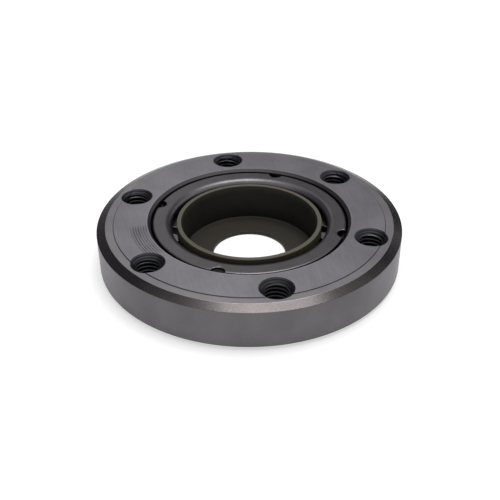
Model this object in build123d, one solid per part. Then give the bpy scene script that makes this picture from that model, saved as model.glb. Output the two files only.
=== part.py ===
"""Sprag clutch of an engine's electric starter, standing on its back face.

The outer race is a ring that bolts to the flywheel. Inside it runs a unit of eighteen sprags in a
drawn sheet cage, spaced and pressed onto the races by one ribbon spring. A moulded cup fills the
place of the gear hub until the clutch is fitted, so that the sprags stay in their cage.

Lengths are in millimetres and angles in degrees. The origin is the centre of the back face, +Z
points out of the front face, and the first tapped hole lies on +X.
"""
from math import cos, radians, sin, sqrt
import os

from build123d import *

# ---- Races ----
INNER_RACE_DIAMETER = 42.0      # hub that the clutch grips
SPRAG_SPACE = 8.33              # radial room between the two races
RACE_CLEARANCE = 0.05           # from a cam to its race, while the clutch runs free

# ---- Outer race ----
RING_DIAMETER = 90.0
RING_THICKNESS = 13.5
RIM_CHAMFER_WIDTH = 2.6         # both edges, radial
RIM_CHAMFER_HEIGHT = 1.1        # both edges, axial
FACE_DIAMETER = 80.2            # ground part of the front face
FACE_STEP = 0.2                 # how far it stands out of the land around it
MOUTH_CHAMFER = 0.8             # both ends of the bore

# ---- Tapped holes, M8 ----
HOLE_COUNT = 6
HOLE_CIRCLE_DIAMETER = 73.4
THREAD_MINOR_DIAMETER = 6.647
COUNTERSINK_DIAMETER = 9.7

# ---- Sprags ----
SPRAG_COUNT = 18
SPRAG_LENGTH = 7.0
SPRAG_DEPTH = 4.8               # end faces below the front face
OUTER_CAM_RADIUS = 4.6
INNER_CAM_RADIUS = 4.5
STRUT_OFFSET = 0.6              # sideways from the outer cam's centre to the inner cam's
WEB_THICKNESS = 3.4
HEAD_HOOK = 1.6                 # overhang of the head past the web
FOOT_HOOK = 1.7                 # overhang of the foot past the web, on the other side
HEAD_HOOK_RADIUS = 2.8
FOOT_HOOK_RADIUS = 1.8
HOOK_BLUNT = 0.4                # flat at the tip of each hook
RELEASE_TILT = 6.0              # swing of a sprag from grip to full release

# ---- Cage ----
CAGE_REST_ANGLE = 10.3          # the unit may stop anywhere: this is where it stands
CAGE_GAP = 0.53                 # radial, to the bore of the outer race
CAGE_SHEET = 0.75
CAGE_TOP_DEPTH = 0.75           # flange below the front face
CAGE_BOTTOM_GAP = 0.4           # above the back face
CAGE_BEND = 0.4                 # flat in place of the bend between wall and flange
FLANGE_FLAT = 3.65              # width of the flange outside its roll
LIP_ROLL_RADIUS = 2.1           # the flange dips in towards the hub, as if rolled over a bead
LIP_ROLL_ANGLE = 50.0           # slope that the roll ends at
WINDOW_SIDE_CLEARANCE = 0.25
WINDOW_END_CLEARANCE = 0.2
NOTCH_COUNT = 4
NOTCH_ANGLE = -9.0              # from the first sprag to the first notch
NOTCH_RADIUS = 2.1
NOTCH_DEPTH = 1.1

# ---- Ribbon spring ----
RIBBON_THICKNESS = 0.25
RIBBON_PIVOT_OFFSET = 0.6       # outwards from the pivots of the sprags
RIBBON_RAIL = 0.45              # strip left above and below each window
RIBBON_SIDE_CLEARANCE = 0.35    # from a window's edge to the sprag's web
RIBBON_FLAT = 0.5               # straight strip left beside a window, at each side
RIBBON_CROWN = 0.9              # height of the folds between windows
RIBBON_CROWN_WIDTH = 1.6        # and of the flat on top of each

# ---- Cup ----
CUP_CLEARANCE = 0.05            # smaller in radius than the hub it stands for
CUP_WALL = 1.0
CUP_TOP_DEPTH = 1.04            # rim below the front face
CUP_LIP = 0.57                  # overhang of the rim past the wall
CUP_LIP_GAP = 0.25              # from the lip to the ends of the sprags
CUP_LIP_BEVEL = 0.35
CUP_FLOOR = 1.2
CUP_BASE_CHAMFER = 0.6
CUP_HOLE_DIAMETER = 22.0

# ---- Worked out from the above ----
INNER_RACE = INNER_RACE_DIAMETER / 2
TRACK = INNER_RACE + SPRAG_SPACE
RING = RING_DIAMETER / 2
LAND = RING_THICKNESS - FACE_STEP

SPRAG_TOP = RING_THICKNESS - SPRAG_DEPTH
SPRAG_BOTTOM = SPRAG_TOP - SPRAG_LENGTH
SPRAG_PITCH = 360 / SPRAG_COUNT
PIVOT = TRACK - RACE_CLEARANCE - OUTER_CAM_RADIUS
HEAD_SWING = (TRACK - PIVOT) * sin(radians(RELEASE_TILT))

WINDOW_TOP = SPRAG_TOP + WINDOW_END_CLEARANCE
WINDOW_BOTTOM = SPRAG_BOTTOM - WINDOW_END_CLEARANCE

RIBBON = PIVOT + RIBBON_PIVOT_OFFSET
RIBBON_HALF_WINDOW = WEB_THICKNESS / 2 + RIBBON_SIDE_CLEARANCE
RIBBON_HALF_FLAT = RIBBON_HALF_WINDOW + RIBBON_FLAT

CAGE_OUTER = TRACK - CAGE_GAP
CAGE_INNER = CAGE_OUTER - CAGE_SHEET
CAGE_TOP = RING_THICKNESS - CAGE_TOP_DEPTH
LIP_START = CAGE_OUTER - FLANGE_FLAT


def turned(*outline):
    """Turns a closed outline, given as corners of radius and height, about the Z axis."""
    return revolve(Plane.XZ * make_face(Polyline(*outline, close=True)), Axis.Z)


def ring_of(shape, count, first_angle=0.0):
    """Repeats a shape around the clutch's axis."""
    return [Rot(0, 0, first_angle + 360 / count * i) * shape for i in range(count)]


def outer_race():
    """Ring with the outer track, a ground face in a lower land, and tapped holes."""
    ring = turned(
        (TRACK, MOUTH_CHAMFER),
        (TRACK + MOUTH_CHAMFER, 0),
        (RING - RIM_CHAMFER_WIDTH, 0),
        (RING, RIM_CHAMFER_HEIGHT),
        (RING, LAND - RIM_CHAMFER_HEIGHT),
        (RING - RIM_CHAMFER_WIDTH, LAND),
        (FACE_DIAMETER / 2, LAND),
        (FACE_DIAMETER / 2, RING_THICKNESS),
        (TRACK + MOUTH_CHAMFER, RING_THICKNESS),
        (TRACK, RING_THICKNESS - MOUTH_CHAMFER),
    )
    hole = Pos(HOLE_CIRCLE_DIAMETER / 2, 0, 0) * tapped_hole()
    return ring - ring_of(hole, HOLE_COUNT)


def tapped_hole():
    """Cutter for one tapped hole: its minor diameter, with a right-angled countersink in front."""
    bore = THREAD_MINOR_DIAMETER / 2
    mouth = COUNTERSINK_DIAMETER / 2
    return turned(
        (0, 0),
        (bore, 0),
        (bore, RING_THICKNESS - (mouth - bore)),
        (mouth, RING_THICKNESS),
        (0, RING_THICKNESS),
    )


def sprag_outline():
    """Cross-section of a sprag that points along +X, with its head at the larger radius.

    The head's cam is an arc about the pivot and bears on the outer race. The foot's cam is an arc
    about a centre set off sideways, so that the sprag grows taller as it swings counter-clockwise
    and wedges. Head and foot hook past a straight web, on opposite sides, to blunt tips.
    """
    half_web = WEB_THICKNESS / 2
    foot_reach = INNER_RACE + RACE_CLEARANCE + INNER_CAM_RADIUS
    foot_centre = Vector(sqrt(foot_reach**2 - STRUT_OFFSET**2), STRUT_OFFSET)

    def on_head(side):
        return Vector(PIVOT + sqrt(OUTER_CAM_RADIUS**2 - side**2), side)

    def on_foot(side):
        rise = side - foot_centre.Y
        return Vector(foot_centre.X - sqrt(INNER_CAM_RADIUS**2 - rise**2), side)

    def hook_run(hook, radius):
        return sqrt(radius**2 - (radius - hook) ** 2)

    head_heel = on_head(-half_web)
    head_tip = on_head(half_web + HEAD_HOOK)
    foot_heel = on_foot(half_web)
    foot_tip = on_foot(-half_web - FOOT_HOOK)
    head_end = head_tip - Vector(HOOK_BLUNT, 0)
    foot_end = foot_tip + Vector(HOOK_BLUNT, 0)
    head_root = Vector(head_end.X - hook_run(HEAD_HOOK, HEAD_HOOK_RADIUS), half_web)
    foot_root = Vector(foot_end.X + hook_run(FOOT_HOOK, FOOT_HOOK_RADIUS), -half_web)

    outline = [
        ThreePointArc(head_heel, on_head(half_web), head_tip),
        Line(head_tip, head_end),
        RadiusArc(head_end, head_root, HEAD_HOOK_RADIUS),
        Line(head_root, foot_heel),
        ThreePointArc(foot_heel, on_foot(-half_web), foot_tip),
        Line(foot_tip, foot_end),
        RadiusArc(foot_end, foot_root, FOOT_HOOK_RADIUS),
        Line(foot_root, head_heel),
    ]
    return make_face(outline)


def cage():
    """Drawn sheet cage: a wall with a window for each sprag, and a flange rolled down at its edge."""

    def on_roll(radius, slope):
        slope = radians(slope)
        return LIP_START - radius * sin(slope), CAGE_TOP - LIP_ROLL_RADIUS + radius * cos(slope)

    shell = turned(
        (CAGE_OUTER, CAGE_BOTTOM_GAP),
        (CAGE_OUTER, CAGE_TOP - CAGE_BEND),
        (CAGE_OUTER - CAGE_BEND, CAGE_TOP),
        on_roll(LIP_ROLL_RADIUS, 0),
        on_roll(LIP_ROLL_RADIUS, LIP_ROLL_ANGLE / 2),
        on_roll(LIP_ROLL_RADIUS, LIP_ROLL_ANGLE),
        on_roll(LIP_ROLL_RADIUS - CAGE_SHEET, LIP_ROLL_ANGLE),
        on_roll(LIP_ROLL_RADIUS - CAGE_SHEET, 0),
        (CAGE_INNER, CAGE_TOP - CAGE_SHEET),
        (CAGE_INNER, CAGE_BOTTOM_GAP),
    )
    left = WEB_THICKNESS / 2 + HEAD_SWING + WINDOW_SIDE_CLEARANCE
    right = WEB_THICKNESS / 2 + HEAD_HOOK + WINDOW_SIDE_CLEARANCE
    window = Pos(CAGE_OUTER, (right - left) / 2, (WINDOW_TOP + WINDOW_BOTTOM) / 2) * Box(
        4 * CAGE_SHEET, left + right, WINDOW_TOP - WINDOW_BOTTOM
    )
    notch = Pos(CAGE_OUTER, 0, CAGE_TOP) * Cylinder(NOTCH_RADIUS, 2 * NOTCH_DEPTH)
    return shell - ring_of(window, SPRAG_COUNT) - ring_of(notch, NOTCH_COUNT, NOTCH_ANGLE)


def ribbon_edge(radius):
    """Face bounded by one side of the ribbon: flat at the windows, with a fold between."""
    crown = radius + RIBBON_CROWN
    corners = []
    for i in range(SPRAG_COUNT):
        window = Rot(0, 0, SPRAG_PITCH * i)
        fold = Rot(0, 0, SPRAG_PITCH * (i + 0.5))
        corners += [
            window * Pos(radius, -RIBBON_HALF_FLAT),
            window * Pos(radius, RIBBON_HALF_FLAT),
            fold * Pos(crown, -RIBBON_CROWN_WIDTH / 2),
            fold * Pos(crown, RIBBON_CROWN_WIDTH / 2),
        ]
    return make_face(Polyline(*[corner.position for corner in corners], close=True))


def ribbon_spring():
    """Strip of spring steel, bent into a hoop, with a window round the web of each sprag."""
    half = RIBBON_THICKNESS / 2
    height = SPRAG_LENGTH + 2 * (WINDOW_END_CLEARANCE + RIBBON_RAIL)
    bottom = WINDOW_BOTTOM - RIBBON_RAIL
    strip = extrude(ribbon_edge(RIBBON + half) - ribbon_edge(RIBBON - half), height)
    window = Pos(RIBBON, 0, (WINDOW_TOP + WINDOW_BOTTOM) / 2) * Box(
        RIBBON_CROWN, 2 * RIBBON_HALF_WINDOW, WINDOW_TOP - WINDOW_BOTTOM
    )
    return Pos(0, 0, bottom) * strip - ring_of(window, SPRAG_COUNT)


def cup():
    """Moulded cup in place of the hub, with a lip over the sprags' ends and an open floor."""
    rim = INNER_RACE - CUP_CLEARANCE
    top = RING_THICKNESS - CUP_TOP_DEPTH
    lip_bottom = SPRAG_TOP + CUP_LIP_GAP
    inside = rim - CUP_WALL
    return turned(
        (CUP_HOLE_DIAMETER / 2, 0),
        (rim - CUP_BASE_CHAMFER, 0),
        (rim, CUP_BASE_CHAMFER),
        (rim, lip_bottom),
        (rim + CUP_LIP, lip_bottom),
        (rim + CUP_LIP, top - CUP_LIP_BEVEL),
        (rim, top),
        (inside, top),
        (inside, CUP_FLOOR),
        (CUP_HOLE_DIAMETER / 2, CUP_FLOOR),
    )


def build():
    """Every piece where it stands in the clutch, by the name of its file."""
    placed = Rot(0, 0, CAGE_REST_ANGLE)
    pieces = {
        "outer_race": outer_race(),
        "cage": placed * cage(),
        "ribbon_spring": placed * ribbon_spring(),
        "cup": cup(),
    }
    sprag = Pos(0, 0, SPRAG_BOTTOM) * extrude(sprag_outline(), SPRAG_LENGTH)
    for number, shape in enumerate(ring_of(sprag, SPRAG_COUNT, CAGE_REST_ANGLE), start=1):
        pieces[f"sprag_{number:02d}"] = shape
    return pieces


os.makedirs("parts", exist_ok=True)
for name, shape in build().items():
    export_step(shape, f"parts/{name}.step")
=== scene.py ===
"""Sprag clutch: the looks of each piece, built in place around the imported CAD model.

Lengths are in metres, through mm, and angles in degrees. Shaders work in millimetres, in values
whose names end in mm, and in radians. The frame is the CAD's: the clutch stands on its back face
at the origin, its axis is Z, and the first tapped hole lies on +X.
"""
from math import cos, pi, radians, sin, sqrt, tan

import bmesh
import bpy
from mathutils import Matrix, Vector


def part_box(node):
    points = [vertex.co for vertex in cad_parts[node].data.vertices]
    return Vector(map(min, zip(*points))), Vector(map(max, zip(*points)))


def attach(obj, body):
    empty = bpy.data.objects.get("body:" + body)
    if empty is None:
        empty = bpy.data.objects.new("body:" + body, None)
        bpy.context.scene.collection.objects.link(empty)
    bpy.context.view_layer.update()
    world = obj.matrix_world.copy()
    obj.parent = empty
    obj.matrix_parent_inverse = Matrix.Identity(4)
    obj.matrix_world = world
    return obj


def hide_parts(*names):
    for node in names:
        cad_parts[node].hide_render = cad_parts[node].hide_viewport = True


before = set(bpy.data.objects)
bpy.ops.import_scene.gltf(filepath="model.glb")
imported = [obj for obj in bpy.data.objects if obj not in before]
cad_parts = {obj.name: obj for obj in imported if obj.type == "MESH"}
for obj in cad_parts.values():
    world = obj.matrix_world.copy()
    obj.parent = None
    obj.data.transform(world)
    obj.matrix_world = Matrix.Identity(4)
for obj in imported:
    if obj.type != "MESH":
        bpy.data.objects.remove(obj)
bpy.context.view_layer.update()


# ---- Outer race ----
# One ring of bearing steel, turned all over, hardened, and ground on the front face and in the
# bore, which is the outer track of the sprags. Six M8 holes, countersunk and tapped, bolt it to
# the flywheel.
mm = 0.001
race_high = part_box("outer_race")[1]
race_radius = race_high.x
race_top = race_high.z
hub_radius = 21.0 * mm
sprag_space = 8.33 * mm
track_radius = hub_radius + sprag_space
face_radius = 40.1 * mm
face_step = 0.2 * mm
land_height = race_top - face_step
chamfer_width = 2.6 * mm
chamfer_height = 1.1 * mm
mouth_chamfer = 0.8 * mm
mouth_round = 0.08 * mm
rim_round = 0.15 * mm
step_root = 0.05 * mm
step_round = 0.06 * mm
face_round = 0.1 * mm

hole_count = 6
hole_circle = 36.7 * mm
countersink_radius = 4.85 * mm
sink_depth = 2 * mm
sink_overrun = 1 * mm
cutter_core = 0.1 * mm
thread_minor = 3.3235 * mm
thread_major = 4.0 * mm
thread_pitch = 1.25 * mm
crest_share = 1 / 4     # width of a turn's flat crest, as a share of the pitch
flank_share = 5 / 16    # and of each flank beside it
spare_turns = 2         # turns of thread on the tap past each face


def rounded(corners, steps):
    """Outline points for corners of (radius, height, rounding): each rounding becomes an arc."""
    points = []
    for i, (x, y, rounding) in enumerate(corners):
        here = Vector((x, y))
        before = (Vector(corners[i - 1][:2]) - here).normalized()
        after = (Vector(corners[(i + 1) % len(corners)][:2]) - here).normalized()
        if not rounding:
            points.append(here)
            continue
        half = before.angle(after) / 2
        centre = here + (before + after).normalized() * rounding / sin(half)
        start = here + before * rounding / tan(half) - centre
        end = here + after * rounding / tan(half) - centre
        for k in range(steps + 1):
            spoke = start.lerp(end, k / steps).normalized() * rounding
            points.append(centre + spoke)
    return points


def turned(name, corners, segments=256, steps=4):
    """Turns a closed outline, given as corners of (radius, height, rounding), about Z."""
    outline = rounded(corners, steps)
    mesh = bmesh.new()
    rings = []
    for i in range(segments):
        angle = 2 * pi * i / segments
        rings.append([mesh.verts.new((p.x * cos(angle), p.x * sin(angle), p.y)) for p in outline])
    for i, ring in enumerate(rings):
        following = rings[(i + 1) % segments]
        for k in range(len(outline)):
            last = k - 1
            mesh.faces.new((ring[last], following[last], following[k], ring[k]))
    return as_object(name, mesh)


def as_object(name, mesh):
    """Puts a finished bmesh in the scene."""
    bmesh.ops.recalc_face_normals(mesh, faces=mesh.faces)
    data = bpy.data.meshes.new(name)
    mesh.to_mesh(data)
    mesh.free()
    piece = bpy.data.objects.new(name, data)
    bpy.context.collection.objects.link(piece)
    return piece


def applied(piece):
    """Works the piece's modifiers into its mesh."""
    bpy.context.view_layer.update()
    graph = bpy.context.evaluated_depsgraph_get()
    mesh = bpy.data.meshes.new_from_object(piece.evaluated_get(graph))
    piece.modifiers.clear()
    piece.data = mesh


def cut(piece, cutters):
    """Takes the cutters, which don't touch each other, out of the piece."""
    bpy.ops.object.select_all(action="DESELECT")
    for cutter in cutters:
        cutter.select_set(True)
    bpy.context.view_layer.objects.active = cutters[0]
    if len(cutters) > 1:
        bpy.ops.object.join()
    boolean = piece.modifiers.new("cut", "BOOLEAN")
    boolean.operation = "DIFFERENCE"
    boolean.solver = "EXACT"
    boolean.object = cutters[0]
    applied(piece)
    bpy.data.objects.remove(cutters[0])


def smoothed(piece, angle=28):
    """Shades the piece smooth between edges sharper than the angle, led by its large faces."""
    piece.data.shade_smooth()
    piece.data.set_sharp_from_angle(angle=radians(angle))
    weighted = piece.modifiers.new("normals", "WEIGHTED_NORMAL")
    weighted.keep_sharp = True
    weighted.weight = 80
    applied(piece)


def spaced(count, start=0.0):
    """The turns that put count copies around the clutch, the first at the start angle."""
    return [Matrix.Rotation(radians(start + 360 / count * i), 4, "Z") for i in range(count)]


def tap_cutter(around=48):
    """A tap: a right-hand helical thread, closed by a cone above and below the ring."""
    form = [
        (0, thread_minor),
        (crest_share, thread_minor),
        (crest_share + flank_share, thread_major),
        (1 - flank_share, thread_major),
    ]
    turns = int(race_top / thread_pitch) + 2 * spare_turns
    rows = len(form) * turns
    mesh = bmesh.new()
    columns = []
    for i in range(around):
        share = i / around
        column = []
        for row in range(rows + 1):
            part, radius = form[row % len(form)]
            height = (row // len(form) + part + share - spare_turns) * thread_pitch
            angle = 2 * pi * share
            column.append(mesh.verts.new((radius * cos(angle), radius * sin(angle), height)))
        columns.append(column)
    for i in range(around - 1):
        for row in range(rows):
            left, right = columns[i], columns[i + 1]
            mesh.faces.new((left[row], right[row], right[row + 1], left[row + 1]))
    last, first = columns[-1], columns[0]
    step = len(form)
    for row in range(rows - step):
        mesh.faces.new((last[row], first[row + step], first[row + step + 1], last[row + 1]))
    foot = [column[0] for column in columns] + first[step::-1][:-1]
    head = [column[-1] for column in columns] + last[-2 : -step - 2 : -1]
    overrun = 2 * spare_turns * thread_pitch
    for rim, tip_height in ((foot, -overrun), (head, race_top + overrun)):
        tip = mesh.verts.new((0, 0, tip_height))
        for one, other in zip(rim, rim[1:] + rim[:1]):
            mesh.faces.new((one, other, tip))
    return as_object("tap", mesh)


race = turned("race", [
    (track_radius, mouth_chamfer, mouth_round),
    (track_radius + mouth_chamfer, 0, mouth_round),
    (race_radius - chamfer_width, 0, rim_round),
    (race_radius, chamfer_height, rim_round),
    (race_radius, land_height - chamfer_height, rim_round),
    (race_radius - chamfer_width, land_height, rim_round),
    (face_radius, land_height, step_root),
    (face_radius, race_top, step_round),
    (track_radius + mouth_chamfer, race_top, face_round),
    (track_radius, race_top - mouth_chamfer, mouth_round),
])

countersinks = []
taps = []
for turn in spaced(hole_count):
    place = turn @ Matrix.Translation((hole_circle, 0, 0))
    countersink = turned("countersink", [
        (cutter_core, race_top - sink_depth, 0),
        (countersink_radius - sink_depth, race_top - sink_depth, 0),
        (countersink_radius + sink_overrun, race_top + sink_overrun, 0),
        (cutter_core, race_top + sink_overrun, 0),
    ], segments=64)
    countersink.data.transform(place)
    countersinks.append(countersink)
    tap = tap_cutter()
    tap.data.transform(place)
    taps.append(tap)
cut(race, countersinks)
cut(race, taps)
smoothed(race)
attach(race, "outer_race")
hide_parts("outer_race")


class Wire:
    """A node's output. Arithmetic on it adds the Math nodes that do the sum."""

    def __init__(self, layout, socket):
        self.layout = layout
        self.socket = socket

    def __add__(self, other):
        return self.layout.math("ADD", self, other)

    def __sub__(self, other):
        return self.layout.math("SUBTRACT", self, other)

    def __rsub__(self, other):
        return self.layout.math("SUBTRACT", other, self)

    def __mul__(self, other):
        return self.layout.math("MULTIPLY", self, other)

    def __pow__(self, other):
        return self.layout.math("POWER", self, other)

    __radd__ = __add__
    __rmul__ = __mul__

    def step(self, low, high):
        """0 below low and 1 above high, eased between; high may be the smaller."""
        return self.layout.node(
            "ShaderNodeMapRange",
            {"interpolation_type": "SMOOTHSTEP"},
            {"Value": self, "From Min": low, "From Max": high},
        )

    def band(self, low, high, edge):
        """1 between low and high and 0 outside, eased over an edge at each side."""
        return self.step(low - edge, low) * self.step(high + edge, high)


class Layout:
    """A tree of nodes while it is laid out."""

    def __init__(self, tree):
        self.tree = tree

    def node(self, kind, settings=None, inputs=None, output=None):
        """Adds a node of any type: its settings first, then the values or links of its sockets."""
        node = self.tree.nodes.new(kind)
        for key, value in (settings or {}).items():
            setattr(node, key, value)
        for key, value in (inputs or {}).items():
            if isinstance(key, int):
                socket = node.inputs[key]
            else:
                socket = next(s for s in node.inputs if s.name == key and s.enabled)
            self.join(value, socket)
        if output:
            return Wire(self, node.outputs[output])
        return Wire(self, next(s for s in node.outputs if s.enabled))

    def join(self, value, socket):
        """Links the socket to a wire, or sets it to a plain value."""
        if isinstance(value, Wire):
            self.tree.links.new(value.socket, socket)
        else:
            socket.default_value = value

    def math(self, operation, *values):
        return self.node("ShaderNodeMath", {"operation": operation}, dict(enumerate(values)))


class Finish(Layout):
    """A material with one Principled shader."""

    def __init__(self, name, **values):
        self.material = bpy.data.materials.new(name)
        self.material.use_nodes = True
        super().__init__(self.material.node_tree)
        self.shader = self.tree.nodes["Principled BSDF"]
        self.set(**values)

    def set(self, **values):
        """Links or sets inputs of the Principled shader."""
        for key, value in values.items():
            self.join(value, self.shader.inputs[key.replace("_", " ")])

    def cover(self, piece):
        """Makes this the piece's only material."""
        piece.data.materials.clear()
        piece.data.materials.append(self.material)

    def place(self):
        """The point of the piece at rest, in millimetres, as x, y and z."""
        at = self.node("ShaderNodeTexCoord", output="Object")
        scaled = self.node(
            "ShaderNodeVectorMath", {"operation": "SCALE"}, {"Vector": at, "Scale": 1 / mm}
        )
        split = self.node("ShaderNodeSeparateXYZ", inputs={"Vector": scaled}, output="X")
        node = split.socket.node
        return split, Wire(self, node.outputs["Y"]), Wire(self, node.outputs["Z"])

    def point(self, x, y, z):
        return self.node("ShaderNodeCombineXYZ", inputs={"X": x, "Y": y, "Z": z})

    def noise(self, vector, scale, detail=3, roughness=0.5):
        """Cloudy noise around 0.5."""
        sizes = {"Vector": vector, "Scale": scale, "Detail": detail, "Roughness": roughness}
        return self.node("ShaderNodeTexNoise", inputs=sizes, output="Fac")

    def mix(self, share, one, other):
        """Colour one at share 0 and the other at share 1."""
        colours = {"Factor": share, "A": one, "B": other}
        return self.node("ShaderNodeMix", {"data_type": "RGBA"}, colours)

    def tint(self, colour, factor):
        """The colour, darkened or lightened all over by a factor."""
        grey = self.point(factor, factor, factor)
        return self.node(
            "ShaderNodeMix",
            {"data_type": "RGBA", "blend_type": "MULTIPLY"},
            {"Factor": 1.0, "A": colour, "B": grey},
        )

    def bump(self, height, strength, distance=0.02 * mm):
        """Sends a height to the shader's normal."""
        sizes = {"Height": height, "Strength": strength, "Distance": distance}
        self.set(Normal=self.node("ShaderNodeBump", inputs=sizes))


ground_steel = (0.243, 0.231, 0.251, 1)
turned_steel = (0.130, 0.122, 0.131, 1)
land_steel = (0.250, 0.240, 0.248, 1)
bevel_steel = (0.064, 0.0572, 0.0570, 1)
crest_steel = (0.058, 0.060, 0.063, 1)
root_shade_steel = (0.012, 0.012, 0.014, 1)
cone_steel = (0.034, 0.033, 0.037, 1)
mouth_steel = (0.061, 0.0585, 0.060, 1)

# Where one finish ends and the next begins, outwards from the bore and then inside each hole.
mouth_mm = (track_radius + mouth_chamfer) / mm
face_mm = face_radius / mm
bevel_mm = (race_radius - chamfer_width) / mm
rim_mm = race_radius / mm
top_mm = race_top / mm
sink_mm = countersink_radius / mm
cone_mm = top_mm - 1.26
crest_mm = 3.4
root_mm = 3.7

steel = Finish("race steel", Metallic=1.0)
x, y, z = steel.place()
radius = (x * x + y * y) ** 0.5
angle = steel.math("ARCTAN2", y, x)

# Each hole's own coordinates, from the nearest of the six.
hole_spacing = 2 * pi / hole_count
from_hole = steel.math("WRAP", angle, hole_spacing / 2, -hole_spacing / 2)
across = radius * steel.math("SINE", from_hole)
along = radius * steel.math("COSINE", from_hole) - hole_circle / mm
hole_distance = (across * across + along * along) ** 0.5

on_face = z.step(top_mm - 0.12, top_mm - 0.04)
in_hole = hole_distance.step(sink_mm + 0.01, sink_mm - 0.07)
in_cone = in_hole * z.step(cone_mm - 0.06, cone_mm + 0.06)
outside = radius.step(rim_mm - 0.06, rim_mm - 0.01)
in_bore = radius.step(mouth_mm + 0.06, mouth_mm - 0.02)
on_bevel = radius.step(bevel_mm - 0.02, bevel_mm + 0.1) * (1 - outside)
on_land = radius.band(face_mm + 0.04, bevel_mm - 0.02, 0.06)

# The wheel's scratches run long and thin in one direction over the whole face.
grind_cos = 0.86
grind_sin = 0.5
grind_stretch = 0.03
across_scratch = x * grind_cos + y * grind_sin
along_scratch = (y * grind_cos - x * grind_sin) * grind_stretch
clouds = steel.noise(steel.point(x, y, z), scale=0.09, detail=4)
speckle = steel.noise(steel.point(x, y, z), scale=2.6, roughness=0.6)
scratched = steel.point(across_scratch, along_scratch, z)
grind = steel.noise(scratched, scale=4.5, detail=5, roughness=0.62)
rings = steel.noise(steel.point(radius * 6, angle * 1.3, z * 6), scale=1.1, detail=4, roughness=0.6)
drift = steel.noise(steel.point(x * 0.11, y * 0.11, z * 0.02), scale=1.4, detail=2)

body = steel.mix(outside, ground_steel, turned_steel)
body = steel.mix(on_land, body, land_steel)
body = steel.mix(on_bevel, body, bevel_steel)
body = steel.mix(in_bore, body, mouth_steel)
# Painted shade: the thread's roots, deep in each hole, are darkened far below the crests.
crest_and_root_shade = steel.mix(hole_distance.step(crest_mm, root_mm), crest_steel, root_shade_steel)
body = steel.mix(in_hole, body, crest_and_root_shade)
tool_ring_rate = 11
tool_rings = steel.math("SINE", z * tool_ring_rate)
body = steel.mix(in_cone, body, steel.tint(cone_steel, 1 + 0.5 * tool_rings))

# Chatter left a patch of dark arcs on the face, between these radii and angles.
marks_inner_mm = 31.0
marks_outer_mm = 34.6
marks_start = -2.58
marks_end = -2.2
marks_rate = 8.6
patch = radius.band(marks_inner_mm, marks_outer_mm, 1.0) * angle.band(marks_start, marks_end, 0.1)
ripple = 0.5 + 0.5 * steel.math("SINE", radius * marks_rate + clouds * 3)
chatter = patch * ripple * grind.step(0.2, 0.6) * on_face

# A painted shade darkens the face along the step round it, and a painted highlight lightens the face
# at the mouth of the bore.
# Painted shade: a dark line along the step at the face's edge.
step_shade = radius.band(face_mm - 0.08, face_mm + 0.06, 0.08)
# Painted highlight: the face is lightened in a thin ring at the edge of the bore's mouth.
mouth_highlight = radius.band(mouth_mm - 0.01, mouth_mm + 0.17, 0.1) * on_face
# The chatter marks, the painted shade at the step and the painted highlight at the mouth, together.
chatter_and_painted_light = (1 - 0.72 * chatter) * (1 - 0.7 * step_shade) * (1 + 0.3 * mouth_highlight)
mottle = 0.72 + 0.56 * clouds + 0.45 * (grind - 0.5) * on_face
mottle = mottle + (0.2 + 0.5 * on_bevel) * (speckle - 0.5)
steel.set(
    Base_Color=steel.tint(body, mottle * chatter_and_painted_light),
    Roughness=0.34 + 0.16 * grind + 0.08 * (drift - 0.5) + 0.02 * outside - 0.16 * on_bevel,
)
steel.bump(grind * on_face * 0.5 + rings * (1 - on_face) * 0.5 + speckle * 0.3, strength=0.25)
steel.cover(race)


# ---- Cage ----
# Drawn and pierced sheet steel: a wall with a window for each sprag, bent in at the front to a
# flange whose inner edge rolls down. Four half-round notches take the tool that fits it.
cage_low, cage_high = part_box("cage")
cage_top = cage_high.z
cage_bottom = cage_low.z
cage_gap = 0.53 * mm
cage_outer = track_radius - cage_gap
cage_sheet = 0.75 * mm
cage_bend = 0.7 * mm
cage_inner_bend = 0.2 * mm
cage_edge = 0.1 * mm
flange_flat = 3.65 * mm
lip_start = cage_outer - flange_flat
lip_roll = 2.1 * mm
lip_slope = radians(78)
rest_angle = 10.3

# The sprags, as far as the windows are cut to suit them.
sprag_count = 18
sprag_depth = 4.8 * mm
sprag_length = 7.0 * mm
sprag_top = race_top - sprag_depth
sprag_bottom = sprag_top - sprag_length
running_gap = 0.05 * mm
head_cam = 4.6 * mm
pivot = track_radius - running_gap - head_cam
half_web = 1.7 * mm
head_hook = 1.6 * mm
release_tilt = radians(6)
head_swing = (track_radius - pivot) * sin(release_tilt)

side_clearance = 0.25 * mm
end_clearance = 0.2 * mm
window_low = sprag_bottom - end_clearance
window_high = sprag_top + end_clearance
window_from = -half_web - head_swing - side_clearance
window_to = half_web + head_hook + side_clearance

notch_count = 4
notch_angle = -9.0
notch_radius = 2.1 * mm
notch_depth = 1.1 * mm
notch_chamfer = 0.24 * mm
notch_chamfer_waist = 0.05 * mm
notch_chamfer_depth = 0.2 * mm
notch_flare = 0.6 * mm
notch_overrun = 0.1 * mm


def roll_end(radius):
    """Where the lip's roll ends, on the side of the sheet that is rolled to this radius."""
    return lip_start - radius * sin(lip_slope), cage_top - lip_roll + radius * cos(lip_slope)


under_roll = lip_roll - cage_sheet
tangent = tan(lip_slope / 2)
cage = turned("cage_shell", [
    (cage_outer, cage_bottom, cage_edge),
    (cage_outer, cage_top, cage_bend),
    (lip_start - lip_roll * tangent, cage_top, lip_roll),
    (*roll_end(lip_roll), cage_edge),
    (*roll_end(under_roll), cage_edge),
    (lip_start - under_roll * tangent, cage_top - cage_sheet, under_roll),
    (cage_outer - cage_sheet, cage_top - cage_sheet, cage_inner_bend),
    (cage_outer - cage_sheet, cage_bottom, cage_edge),
], steps=8)


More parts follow.
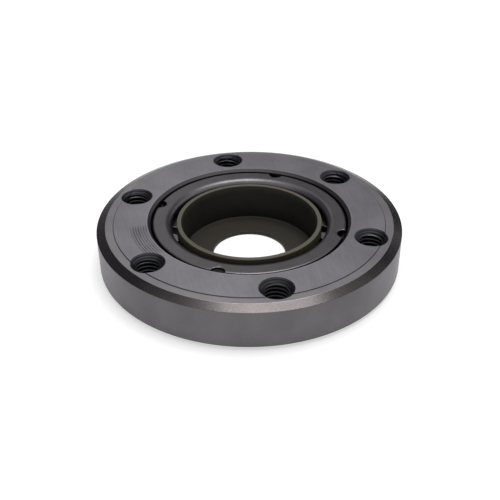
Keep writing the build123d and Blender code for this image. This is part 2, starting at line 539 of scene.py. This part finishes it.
def block(name, low, high):
    """A block between two corners."""
    mesh = bmesh.new()
    middle = (Vector(low) + Vector(high)) / 2
    size = Matrix.Diagonal([*(Vector(high) - Vector(low)), 1])
    bmesh.ops.create_cube(mesh, size=1, matrix=Matrix.Translation(middle) @ size)
    return as_object(name, mesh)


windows = []
for turn in spaced(sprag_count, rest_angle):
    window = block(
        "window",
        (cage_outer - 2 * cage_sheet, window_from, window_low),
        (cage_outer + cage_sheet, window_to, window_high),
    )
    window.data.transform(turn)
    windows.append(window)
cut(cage, windows)

notches = []
for turn in spaced(notch_count, rest_angle + notch_angle):
    notch = turned("notch", [
        (cutter_core, cage_top - notch_depth, 0),
        (notch_radius, cage_top - notch_depth, 0),
        (notch_radius, cage_top - notch_chamfer_depth, 0),
        (notch_radius + notch_chamfer_waist, cage_top - notch_chamfer_depth / 2, 0),
        (notch_radius + notch_chamfer, cage_top, 0),
        (notch_radius + notch_flare, cage_top + notch_overrun, 0),
        (cutter_core, cage_top + notch_overrun, 0),
    ], segments=64)
    notch.data.transform(turn @ Matrix.Translation((cage_outer, 0, 0)))
    notches.append(notch)
cut(cage, notches)
smoothed(cage)
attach(cage, "cage")
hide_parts("cage")

cage_steel = (0.104, 0.098, 0.102, 1)
flange_mm = cage_top / mm
notch_reach_mm = (cage_outer - notch_radius) / mm

sheet = Finish("cage sheet steel", Metallic=1.0)
x, y, z = sheet.place()
radius = (x * x + y * y) ** 0.5
angle = sheet.math("ARCTAN2", y, x)
clouds = sheet.noise(sheet.point(x, y, z), scale=0.16)
grain = sheet.noise(sheet.point(radius * 5, angle * 2, z * 5), scale=1.2, detail=4, roughness=0.6)
pits = sheet.noise(sheet.point(x, y, z), scale=5.5, detail=2)
# Painted shade: the outer wall and the lower part of the outer bend are darkened, where the gap to
# the race lies in shade.
below_flange = z.step(flange_mm - 0.11, flange_mm - 0.22)
gap_shade = radius.step(notch_reach_mm + 0.1, notch_reach_mm + 0.3) * below_flange
sheet.set(
    Base_Color=sheet.tint(cage_steel, (0.75 + 0.4 * clouds + 0.2 * grain) * (1 - 0.85 * gap_shade)),
    Roughness=0.27 + 0.12 * grain + 0.08 * pits,
)
sheet.bump(grain * 0.6 + pits * 0.4, strength=0.2)
sheet.cover(cage)


# ---- Ribbon spring ----
# A hoop of blued spring strip with a window round each sprag and a fold between, which presses
# the sprags onto both races. It shows only through the gap inside the flange.
blued_steel = (0.10, 0.095, 0.10, 1)
rubbed_steel = (0.19, 0.175, 0.17, 1)

spring = Finish("spring strip", Metallic=1.0, Roughness=0.32)
x, y, z = spring.place()
grain = spring.noise(spring.point(x, y, z * 9), scale=1.4, detail=4)
spring.set(Base_Color=spring.mix(grain, blued_steel, rubbed_steel))
spring.bump(grain, strength=0.12)
spring.cover(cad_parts["ribbon_spring"])


# ---- Sprags ----
# Eighteen cams of hardened chrome steel, drawn to shape and cut to length, then tumbled so that
# every edge is soft. Each swings on its head and wedges between the races.
foot_cam = 4.5 * mm
foot_reach = hub_radius + running_gap + foot_cam
strut_offset = 0.6 * mm
foot_hook = 1.7 * mm
head_hollow = 2.8 * mm
foot_hollow = 1.8 * mm
hook_blunt = 0.4 * mm
edge_round = 0.16 * mm
soft_angle = 35


def sprag_outline():
    """Corners of a sprag that points along +X, with its head outwards."""
    foot_x = sqrt(foot_reach**2 - strut_offset**2)

    def on_head(side):
        return Vector((pivot + sqrt(head_cam**2 - side**2), side))

    def on_foot(side):
        return Vector((foot_x - sqrt(foot_cam**2 - (side - strut_offset) ** 2), side))

    def run(hook, hollow):
        return sqrt(hollow**2 - (hollow - hook) ** 2)

    def spread(cam, start, end, steps=12):
        return [cam(start + (end - start) * k / steps) for k in range(steps + 1)]

    head_end = on_head(half_web + head_hook) - Vector((hook_blunt, 0))
    foot_end = on_foot(-half_web - foot_hook) + Vector((hook_blunt, 0))
    head_root = Vector((head_end.x - run(head_hook, head_hollow), half_web))
    foot_root = Vector((foot_end.x + run(foot_hook, foot_hollow), -half_web))
    head_centre = Vector((head_root.x, half_web + head_hollow))
    foot_centre = Vector((foot_root.x, -half_web - foot_hollow))

    def hollow_arc(centre, start, end, steps=8):
        first = start - centre
        last = end - centre
        return [
            centre + first.lerp(last, k / steps).normalized() * first.length
            for k in range(steps + 1)
        ]

    return (
        spread(on_head, -half_web, half_web + head_hook)
        + hollow_arc(head_centre, head_end, head_root)
        + spread(on_foot, half_web, -half_web - foot_hook)
        + hollow_arc(foot_centre, foot_end, foot_root)
    )


def sprag_mesh(name):
    """The outline extruded over the sprag's length, with every outer edge rounded."""
    outline = sprag_outline()
    mesh = bmesh.new()
    floor = [mesh.verts.new((p.x, p.y, sprag_bottom)) for p in outline]
    roof = [mesh.verts.new((p.x, p.y, sprag_top)) for p in outline]
    mesh.faces.new(floor[::-1])
    mesh.faces.new(roof)
    for k in range(len(floor)):
        mesh.faces.new((floor[k - 1], floor[k], roof[k], roof[k - 1]))
    piece = as_object(name, mesh)
    bevel = piece.modifiers.new("edges", "BEVEL")
    bevel.width = edge_round
    bevel.segments = 3
    bevel.limit_method = "ANGLE"
    bevel.angle_limit = radians(soft_angle)
    applied(piece)
    smoothed(piece, soft_angle)
    return piece


sprag_steel = (0.17, 0.165, 0.165, 1)
cam_steel = Finish("sprag steel", Metallic=1.0)
x, y, z = cam_steel.place()
drawn = cam_steel.noise(cam_steel.point(x * 6, y * 6, z * 0.3), scale=1.5)
tumbled = cam_steel.noise(cam_steel.point(x, y, z), scale=4, detail=4, roughness=0.6)
cam_steel.set(
    Base_Color=cam_steel.tint(sprag_steel, 0.8 + 0.25 * drawn + 0.15 * tumbled),
    Roughness=0.26 + 0.14 * tumbled,
)
cam_steel.bump(drawn * 0.5 + tumbled * 0.5, strength=0.15)

for number, turn in enumerate(spaced(sprag_count, rest_angle), start=1):
    node = f"sprag_{number:02d}"
    sprag = sprag_mesh(f"{node}_cam")
    sprag.data.transform(turn)
    cam_steel.cover(sprag)
    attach(sprag, node)
    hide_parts(node)


# ---- Cup ----
# Injection-moulded nylon of a dull olive brown. It fills the hub's place while the clutch is on
# the shelf: its lip rests over the ends of the sprags, and a faint groove parts the lip from the
# rim. The floor is open.
cup_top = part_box("cup")[1].z
cup_clearance = 0.05 * mm
cup_outer = hub_radius - cup_clearance
cup_wall = 0.72 * mm
cup_inner = cup_outer - cup_wall
cup_draft = 0.45 * mm
cup_floor = 1.2 * mm
cup_edge = 0.1 * mm
floor_hole = 11.0 * mm
floor_round = 0.15 * mm
floor_fillet = 0.35 * mm
base_chamfer = 0.6 * mm
base_round = 0.2 * mm
flank_round = 0.3 * mm

lip_gap = 0.25 * mm
lip_bottom = sprag_top + lip_gap
lip_outer = cup_outer + 0.57 * mm
lip_side_top = cup_top - 0.2 * mm
lip_bevel = 0.12 * mm
lip_round = 0.12 * mm
lip_top = cup_top - 0.04 * mm
groove_outer = cup_outer + 0.1 * mm
groove_lip = cup_top - 0.03 * mm
groove_middle = cup_outer - 0.05 * mm
groove_bottom = cup_top - 0.1 * mm
groove_edge = 0.05 * mm
groove_round = 0.04 * mm
rim_outer = cup_outer - 0.15 * mm
rim_inner = cup_inner + 0.05 * mm

cup = turned("cup_moulding", [
    (floor_hole, 0, cup_edge),
    (cup_outer - base_chamfer, 0, base_round),
    (cup_outer, base_chamfer, flank_round),
    (cup_outer, lip_bottom, cup_edge),
    (lip_outer, lip_bottom, cup_edge),
    (lip_outer, lip_side_top, lip_round),
    (lip_outer - lip_bevel, lip_top, groove_edge),
    (groove_outer, groove_lip, groove_edge),
    (groove_middle, groove_bottom, groove_round),
    (rim_outer, cup_top, cup_edge),
    (rim_inner, cup_top, lip_round),
    (cup_inner - cup_draft, cup_floor, floor_fillet),
    (floor_hole, cup_floor, floor_round),
])
smoothed(cup, angle=40)
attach(cup, "cup")
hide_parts("cup")

# Lit and shaded copies of the one nylon. The inner wall is painted dark as painted shade inside the
# cup, and paler towards its top as painted light. The floor is darker than the rim as painted shade,
# and the rim is lighter as painted light on the top. Olive and brown vary at random.
shaded_olive_nylon = (0.0100, 0.0095, 0.0062, 1)
shaded_brown_nylon = (0.0090, 0.0072, 0.0056, 1)
flank_nylon = (0.072, 0.061, 0.041, 1)
shaded_floor_nylon = (0.029, 0.025, 0.019, 1)
lit_upper_nylon = (0.046, 0.042, 0.029, 1)
lit_rim_nylon = (0.110, 0.100, 0.078, 1)
rim_mm = cup_top / mm
flank_mm = cup_outer / mm
floor_mm = cup_floor / mm
lit_from_mm = 9.8
lit_to_mm = 12.8

nylon = Finish("cup nylon", IOR=1.53, Specular_IOR_Level=0.25)
x, y, z = nylon.place()
radius = (x * x + y * y) ** 0.5
clouds = nylon.noise(nylon.point(x, y, z), scale=0.14)
grain = nylon.noise(nylon.point(x, y, z), scale=7)
rim_light = z.step(rim_mm - 0.22, rim_mm - 0.12)
# By height: painted light on the rim and the upper wall, painted shade on the lower wall and the
# floor.
body = nylon.mix(clouds.step(0.35, 0.7), shaded_olive_nylon, shaded_brown_nylon)
body = nylon.mix(z.step(lit_from_mm, lit_to_mm), body, lit_upper_nylon)
body = nylon.mix(z.step(floor_mm + 0.4, floor_mm + 0.1), body, shaded_floor_nylon)
body = nylon.mix(radius.step(flank_mm - 0.45, flank_mm - 0.25), body, flank_nylon)
nylon.set(
    Base_Color=nylon.mix(rim_light, body, lit_rim_nylon),
    Roughness=0.44 + 0.12 * grain + 0.08 * clouds,
)
nylon.bump(grain, strength=0.1)
nylon.cover(cup)


# ---- Table and lights ----
# The clutch lies on a plain white table under one round soft lamp. Six cards, dark and grey, hang
# behind it where only reflections see them, and give the turned steel its dark flanks.
def seen(layout):
    """1 for the rays that show what is white around the clutch, and 0 for those that light it."""
    camera_ray = layout.node("ShaderNodeLightPath", output="Is Camera Ray")
    rays = camera_ray.socket.node.outputs
    glossy = Wire(layout, rays["Is Glossy Ray"])
    through = Wire(layout, rays["Is Transmission Ray"])
    return layout.math("MAXIMUM", layout.math("MAXIMUM", camera_ray, glossy), through)


white = (1, 1, 1, 1)
sky_light = 0.35
sky_shown = 1.0
world = bpy.data.worlds.new("studio")
bpy.context.scene.world = world
world.use_nodes = True
sky = Layout(world.node_tree)
levels = {"Value": seen(sky), "To Min": sky_light, "To Max": sky_shown}
background = sky.tree.nodes["Background"]
sky.join(white, background.inputs["Color"])
sky.join(sky.node("ShaderNodeMapRange", inputs=levels), background.inputs["Strength"])

table_width = 12
table_drop = 0.05 * mm
table_white = (0.7, 0.7, 0.7, 1)
table_glow = 0.55
mesh = bmesh.new()
bmesh.ops.create_grid(mesh, x_segments=1, y_segments=1, size=table_width / 2)
table = as_object("table", mesh)
table.location.z = -table_drop
paint = Finish("table paint", Base_Color=table_white, Roughness=0.9, Specular_IOR_Level=0.0)
paint.set(Emission_Color=white, Emission_Strength=seen(paint) * table_glow)
paint.cover(table)

lamp = bpy.data.lights.new("overhead lamp", "AREA")
lamp.shape = "DISK"
lamp.size = 0.54
lamp.energy = 4.8
overhead = bpy.data.objects.new("overhead lamp", lamp)
overhead.location = (0.062, 0.120, 0.9)
overhead.rotation_euler = Vector(overhead.location).to_track_quat("Z", "Y").to_euler()
bpy.context.collection.objects.link(overhead)

card_distance = 1.0


def card(name, start, end, card_low, card_high, felt, steps=8):
    """A card hung on an arc between two directions and two heights, seen by reflections alone."""
    mesh = bmesh.new()
    columns = []
    for k in range(steps + 1):
        aside = radians(start + (end - start) * k / steps)
        across, along = card_distance * cos(aside), card_distance * sin(aside)
        columns.append([mesh.verts.new((across, along, height)) for height in (card_low, card_high)])
    for (low, high), (next_low, next_high) in zip(columns, columns[1:]):
        mesh.faces.new((low, next_low, next_high, high))
    piece = as_object(name, mesh)
    piece.visible_camera = False
    piece.visible_diffuse = False
    piece.visible_shadow = False
    felt.cover(piece)


dark = Finish("dark card", Roughness=1.0, Base_Color=(0.145, 0.145, 0.17, 1))
grey = Finish("grey card", Roughness=1.0, Base_Color=(0.45, 0.45, 0.52, 1))

# Each runs from one direction to another, in degrees, and from one height to another, in metres.
card("right card", 55, 92, 0.5, 2.1, dark)
card("grey card", 72, 113, 0.4, 0.72, grey)
card("low card", 70, 112, 0.0, 0.4, dark)
card("lowest card", 112, 126, 0.0, 0.3, dark)
card("left card", 126, 172, 0.0, 2.3, grey)
card("low left card", 172, 215, 0.0, 1.2, grey)


# ---- Camera ----
# A slightly long lens in front of the clutch, looking down on the ground face. The place is given
# by direction, height and distance, and the aim by three turns.
camera_azimuth = -71.1
camera_elevation = 31.19
camera_distance = 236.7 * mm
camera_down = 33.638
camera_turn = 18.853
camera_roll = -0.259
lens = 57.34

data = bpy.data.cameras.new("camera")
data.lens = lens
data.sensor_width = 36
data.clip_start = 0.01
camera = bpy.data.objects.new("camera", data)
aside = radians(camera_azimuth)
up = radians(camera_elevation)
camera.matrix_world = (
    Matrix.Translation((
        camera_distance * cos(up) * cos(aside),
        camera_distance * cos(up) * sin(aside),
        camera_distance * sin(up) + race_top,
    ))
    @ Matrix.Rotation(radians(camera_turn), 4, "Z")
    @ Matrix.Rotation(radians(90 - camera_down), 4, "X")
    @ Matrix.Rotation(radians(camera_roll), 4, "Z")
)
bpy.context.collection.objects.link(camera)
bpy.context.scene.camera = camera
bpy.context.scene.view_settings.view_transform = "Standard"
